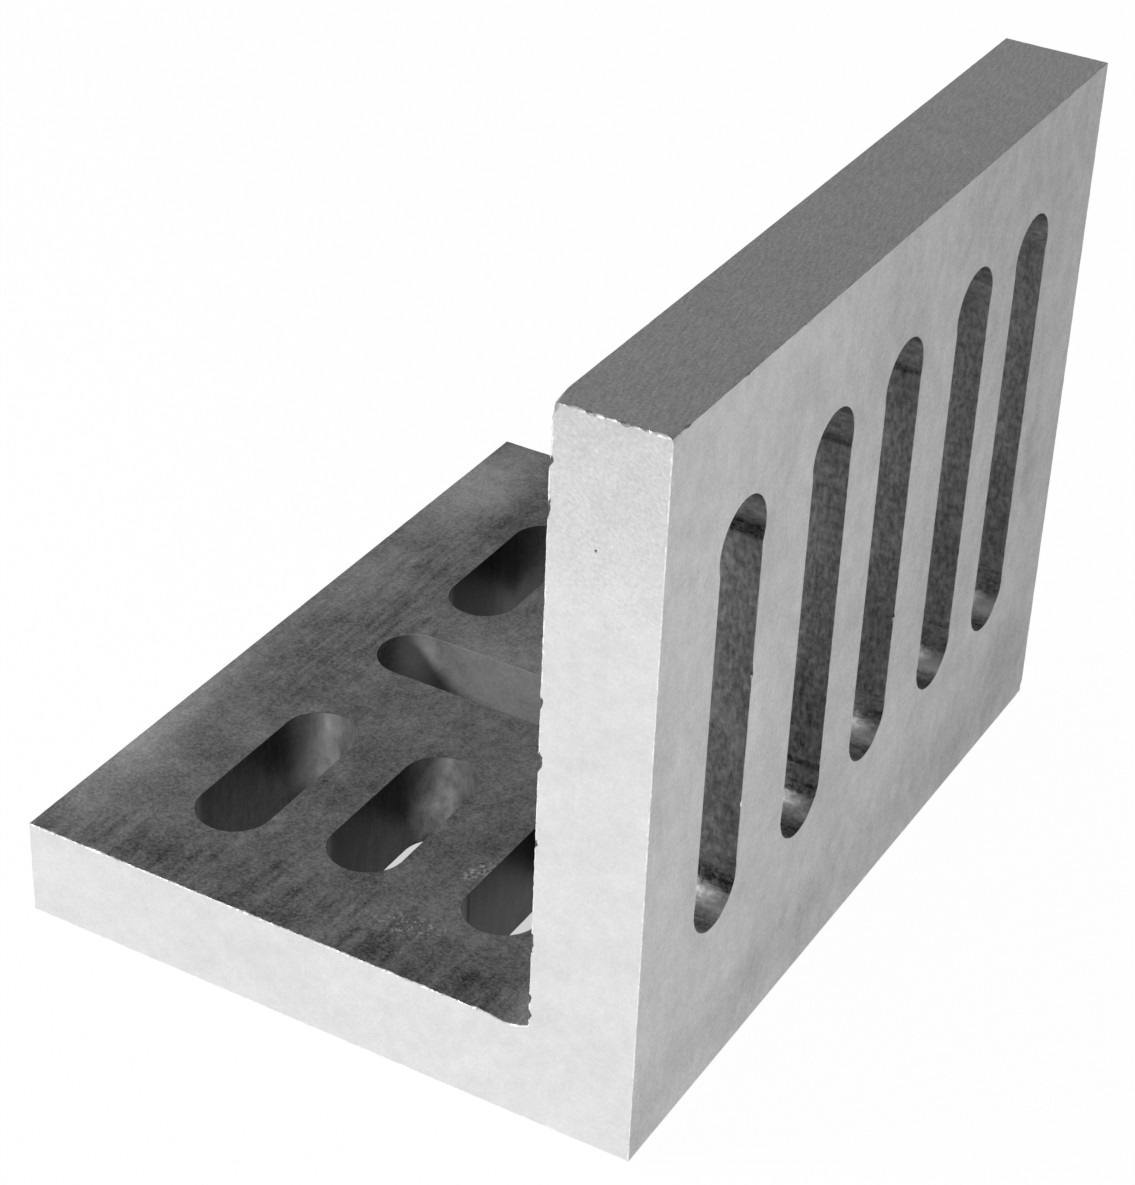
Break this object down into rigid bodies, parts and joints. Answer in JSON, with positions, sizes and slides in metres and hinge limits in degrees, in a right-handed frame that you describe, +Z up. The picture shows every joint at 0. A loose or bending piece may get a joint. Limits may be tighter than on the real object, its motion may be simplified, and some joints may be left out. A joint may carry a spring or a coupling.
{
  "type": "slotted angle plate",
  "caption": "One-piece cast iron angle plate with open ends: a tall wall leg with long upright slots, and a wide base leg with bolt slots along and across it.",
  "frame": {"origin": "centre of the bounding box on the underside of the base leg, where the plate stands", "axes": "+X out of the wall leg's outer face, +Y along the length of the plate, +Z up the wall leg"},
  "size_m": [0.1142, 0.1524, 0.127],
  "materials": {
    "cast_iron": "ground outer faces, milled base top, plain machined slots"
  },
  "bodies": {
    "root": {"angle_plate": "cast_iron"}
  },
  "joints": []
}
